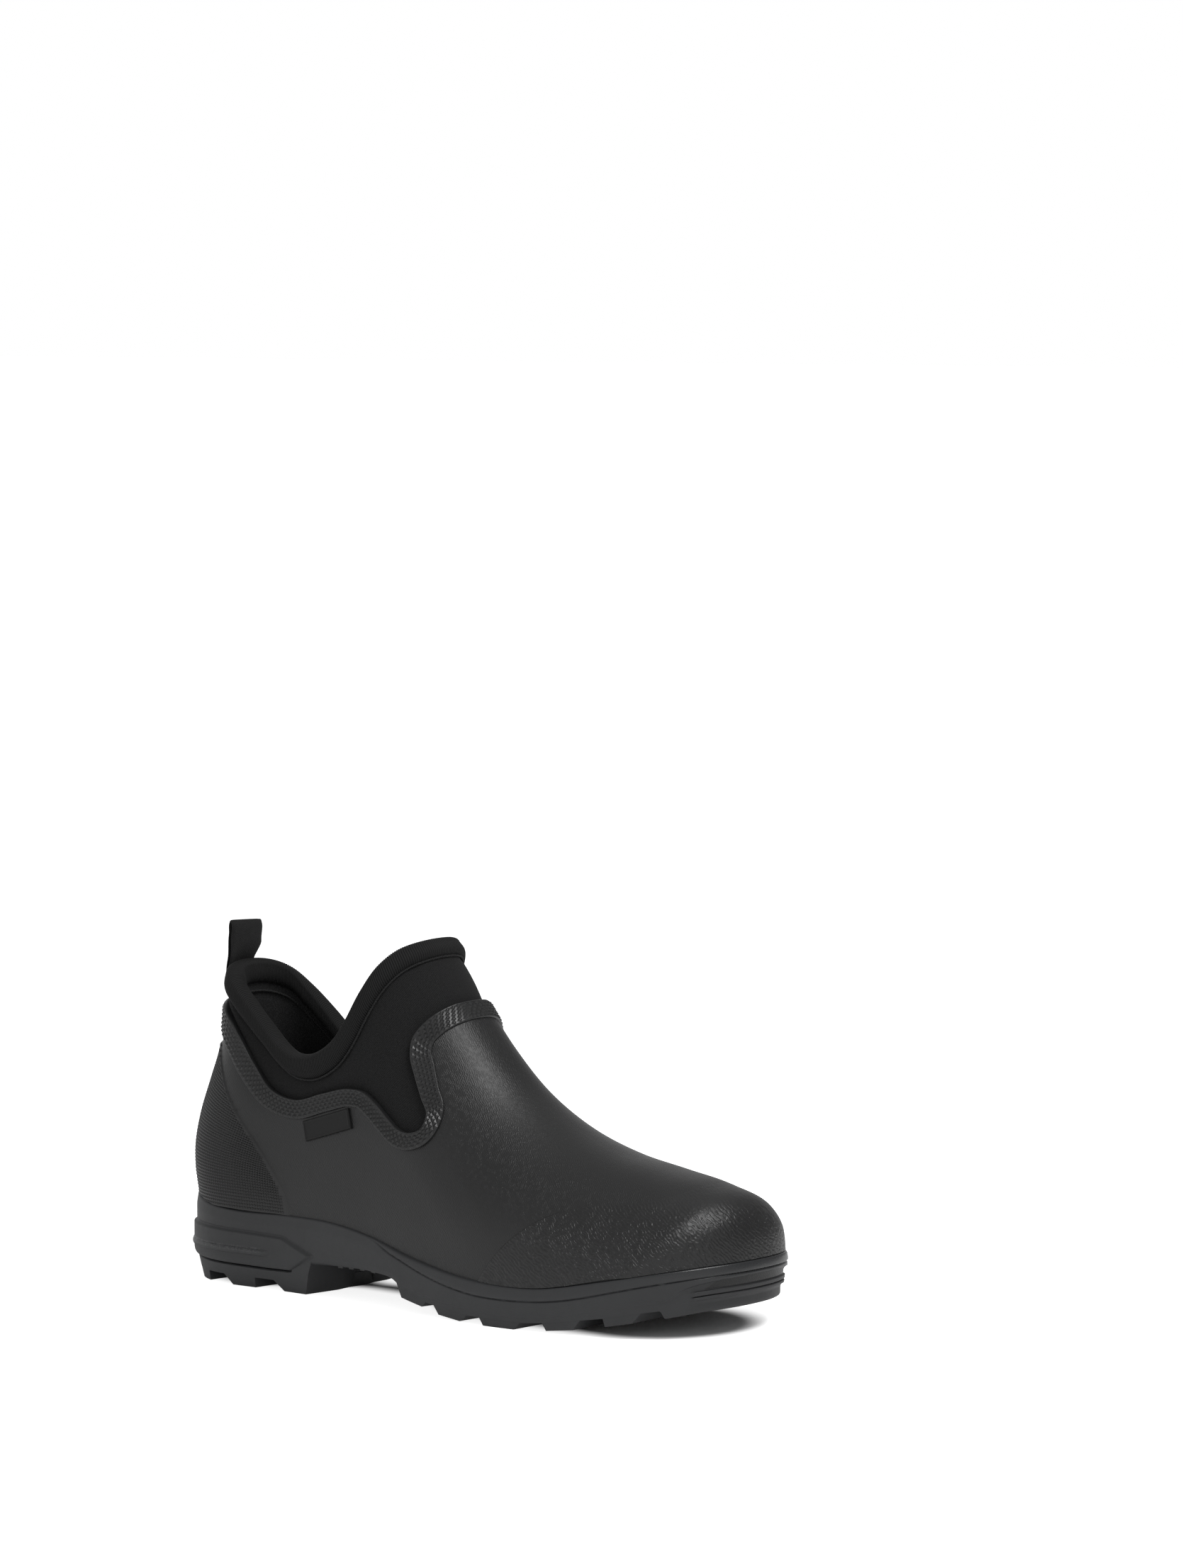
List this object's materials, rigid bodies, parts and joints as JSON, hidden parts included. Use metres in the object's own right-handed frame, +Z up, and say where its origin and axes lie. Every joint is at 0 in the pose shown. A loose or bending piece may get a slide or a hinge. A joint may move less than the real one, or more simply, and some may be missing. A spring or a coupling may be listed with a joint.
{
  "type": "rubber ankle boot",
  "caption": "Right rubber ankle boot with a black neoprene collar, embossed top band, toe cap, dotted heel counter, pull loop and lugged grey sole",
  "frame": {"origin": "the ground plane under the middle of the boot's bounding box", "axes": "+X from heel to toe, +Y to the inner (medial) side, +Z up"},
  "size_m": [0.2842, 0.1044, 0.1507],
  "materials": {
    "sole_rubber": "matte moulded dark grey",
    "footbed_foam": "black textile over foam",
    "shell_rubber": "satin with a fine leather grain",
    "neoprene": "black knit-faced neoprene",
    "binding_elastic": "black ribbed elastic",
    "band_rubber": "satin with embossed diamonds",
    "cap_rubber": "satin with a coarse wrinkled grain",
    "counter_rubber": "satin with rows of small dots",
    "label_rubber": "plain satin",
    "webbing": "black woven tape"
  },
  "bodies": {
    "root": {"outsole": "sole_rubber", "insole": "footbed_foam", "rubber_upper": "shell_rubber", "neoprene_collar": "neoprene", "collar_binding": "binding_elastic", "top_band": "band_rubber", "toe_cap": "cap_rubber", "heel_counter": "counter_rubber", "label_patch": "label_rubber", "pull_loop": "webbing"}
  },
  "joints": []
}
